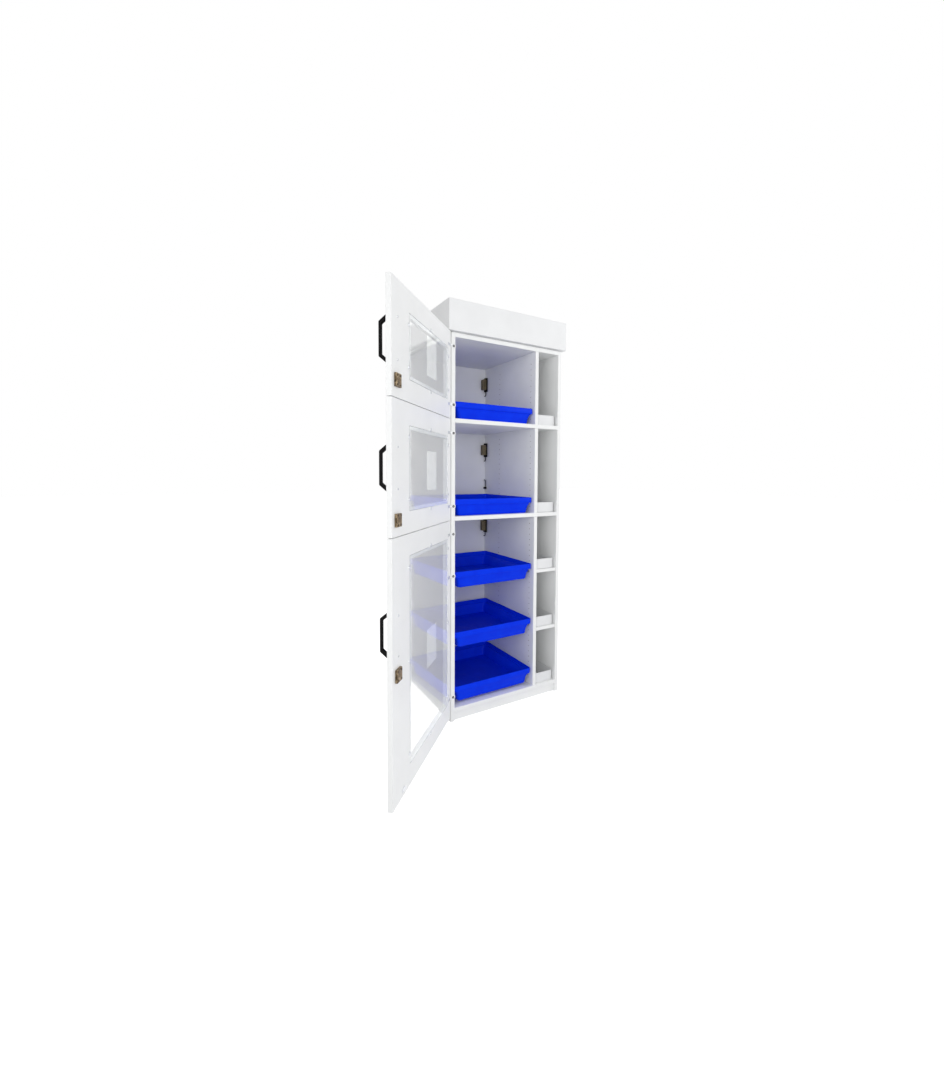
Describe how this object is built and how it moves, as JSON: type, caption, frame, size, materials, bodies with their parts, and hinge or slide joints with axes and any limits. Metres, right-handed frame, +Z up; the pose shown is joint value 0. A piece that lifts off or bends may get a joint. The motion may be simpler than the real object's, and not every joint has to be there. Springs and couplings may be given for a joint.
{
  "type": "reagent cabinet",
  "caption": "Tall ventilated reagent cabinet with windowed doors, pull-out retention trays, narrow bins and a filter housing on top.",
  "frame": {"origin": "centre of the cabinet's footprint, on the floor", "axes": "+Z up; the open front faces -Y; the doors hang on the left side, -X"},
  "size_m": [1.2583, 1.1294, 2.22],
  "materials": {
    "white_board": "satin",
    "white_steel": "satin",
    "clear_acrylic": "polished",
    "blue_plastic": "gloss",
    "white_plastic": "satin",
    "black_plastic": "satin",
    "brass": "satin",
    "steel": "satin",
    "bronze_cover": "satin",
    "carbon_filter": "matte"
  },
  "bodies": {
    "carcass": {"side_panel_left": "white_board", "side_panel_right": "white_board", "back_panel": "white_board", "base_board": "white_board", "plinth_rails": "white_board", "top_board": "white_board", "fixed_shelf_upper": "white_board", "fixed_shelf_lower": "white_board", "narrow_shelves": "white_board", "shelf_pegs": "steel", "housing_body": "white_steel", "housing_floor": "white_steel", "housing_lid": "white_steel", "carbon_filter": "carbon_filter", "filter_hood": "steel", "fan_motor": "steel", "mains_inlet": "black_plastic", "tray_runners": "steel", "strike_plates": "white_steel", "hinge_straps": "white_steel", "sensor_bases": "black_plastic", "sensor_covers": "bronze_cover", "divider_upper": "white_board", "divider_middle": "white_board", "divider_lower": "white_board"},
    "door_upper": {"door_panel_upper": "white_board", "door_pane_upper": "clear_acrylic", "door_screws_upper": "steel", "door_handle_upper": "black_plastic", "lock_case_upper": "brass", "hinge_leaves_upper": "steel"},
    "lock_bolt_upper": {"lock_bolt_upper": "steel"},
    "lock_plug_upper": {"lock_plug_upper": "brass"},
    "door_middle": {"door_panel_middle": "white_board", "door_pane_middle": "clear_acrylic", "door_screws_middle": "steel", "door_handle_middle": "black_plastic", "lock_case_middle": "brass", "hinge_leaves_middle": "steel"},
    "lock_bolt_middle": {"lock_bolt_middle": "steel"},
    "lock_plug_middle": {"lock_plug_middle": "brass"},
    "door_lower": {"door_panel_lower": "white_board", "door_pane_lower": "clear_acrylic", "door_screws_lower": "steel", "door_handle_lower": "black_plastic", "lock_case_lower": "brass", "hinge_leaves_lower": "steel"},
    "lock_bolt_lower": {"lock_bolt_lower": "steel"},
    "lock_plug_lower": {"lock_plug_lower": "brass"},
    "tray_1": {"tray_1": "blue_plastic"},
    "bin_1": {"bin_1": "white_plastic"},
    "tray_2": {"tray_2": "blue_plastic"},
    "bin_2": {"bin_2": "white_plastic"},
    "tray_3": {"tray_3": "blue_plastic"},
    "bin_3": {"bin_3": "white_plastic"},
    "tray_4": {"tray_4": "blue_plastic"},
    "bin_4": {"bin_4": "white_plastic"},
    "tray_5": {"tray_5": "blue_plastic"},
    "bin_5": {"bin_5": "white_plastic"},
    "fan_impeller": {"fan_impeller": "black_plastic"}
  },
  "joints": [
    {"name": "door_upper_hinge", "type": "hinge", "parent": "carcass", "child": "door_upper", "pos_m": [-0.363, -0.301, 1.83355], "axis": [0, 0, -1], "range_deg": [-133, 32]},
    {"name": "lock_plug_upper_turn", "type": "hinge", "parent": "door_upper", "child": "lock_plug_upper", "pos_m": [-0.83983, -0.77861, 1.6751], "axis": [-0.7314, 0.682, 0], "range_deg": [0, 90]},
    {"name": "lock_bolt_upper_slide", "type": "slide", "parent": "door_upper", "child": "lock_bolt_upper", "axis": [-0.682, -0.7314, 0], "range_m": [0, 0.0135]},
    {"name": "door_middle_hinge", "type": "hinge", "parent": "carcass", "child": "door_middle", "pos_m": [-0.363, -0.301, 1.34545], "axis": [0, 0, -1], "range_deg": [-133, 32]},
    {"name": "lock_plug_middle_turn", "type": "hinge", "parent": "door_middle", "child": "lock_plug_middle", "pos_m": [-0.83983, -0.77861, 1.1468], "axis": [-0.7314, 0.682, 0], "range_deg": [0, 90]},
    {"name": "lock_bolt_middle_slide", "type": "slide", "parent": "door_middle", "child": "lock_bolt_middle", "axis": [-0.682, -0.7314, 0], "range_m": [0, 0.0135]},
    {"name": "door_lower_hinge", "type": "hinge", "parent": "carcass", "child": "door_lower", "pos_m": [-0.363, -0.301, 0.5529], "axis": [0, 0, -1], "range_deg": [-133, 32]},
    {"name": "lock_plug_lower_turn", "type": "hinge", "parent": "door_lower", "child": "lock_plug_lower", "pos_m": [-0.83983, -0.77861, 0.547], "axis": [-0.7314, 0.682, 0], "range_deg": [0, 90]},
    {"name": "lock_bolt_lower_slide", "type": "slide", "parent": "door_lower", "child": "lock_bolt_lower", "axis": [-0.682, -0.7314, 0], "range_m": [0, 0.0135]},
    {"name": "tray_1_slide", "type": "slide", "parent": "carcass", "child": "tray_1", "axis": [0, -1, 0], "range_m": [0, 0.35]},
    {"name": "tray_2_slide", "type": "slide", "parent": "carcass", "child": "tray_2", "axis": [0, -1, 0], "range_m": [0, 0.35]},
    {"name": "tray_3_slide", "type": "slide", "parent": "carcass", "child": "tray_3", "axis": [0, -1, 0], "range_m": [0, 0.35]},
    {"name": "tray_4_slide", "type": "slide", "parent": "carcass", "child": "tray_4", "axis": [0, -1, 0], "range_m": [0, 0.35]},
    {"name": "tray_5_slide", "type": "slide", "parent": "carcass", "child": "tray_5", "axis": [0, -1, 0], "range_m": [0, 0.35]},
    {"name": "bin_1_slide", "type": "slide", "parent": "carcass", "child": "bin_1", "axis": [0, -1, 0], "range_m": [0, 0.25]},
    {"name": "bin_2_slide", "type": "slide", "parent": "carcass", "child": "bin_2", "axis": [0, -1, 0], "range_m": [0, 0.25]},
    {"name": "bin_3_slide", "type": "slide", "parent": "carcass", "child": "bin_3", "axis": [0, -1, 0], "range_m": [0, 0.25]},
    {"name": "bin_4_slide", "type": "slide", "parent": "carcass", "child": "bin_4", "axis": [0, -1, 0], "range_m": [0, 0.25]},
    {"name": "bin_5_slide", "type": "slide", "parent": "carcass", "child": "bin_5", "axis": [0, -1, 0], "range_m": [0, 0.25]},
    {"name": "fan_spin", "type": "hinge", "parent": "carcass", "child": "fan_impeller", "pos_m": [0, 0.02, 2.155], "axis": [0, 0, 1], "continuous": true}
  ],
  "couplings": [
    {"joint": "lock_plug_upper_turn", "follows": "lock_bolt_upper_slide", "rad_per_m": 116.35},
    {"joint": "lock_plug_middle_turn", "follows": "lock_bolt_middle_slide", "rad_per_m": 116.35},
    {"joint": "lock_plug_lower_turn", "follows": "lock_bolt_lower_slide", "rad_per_m": 116.35}
  ]
}
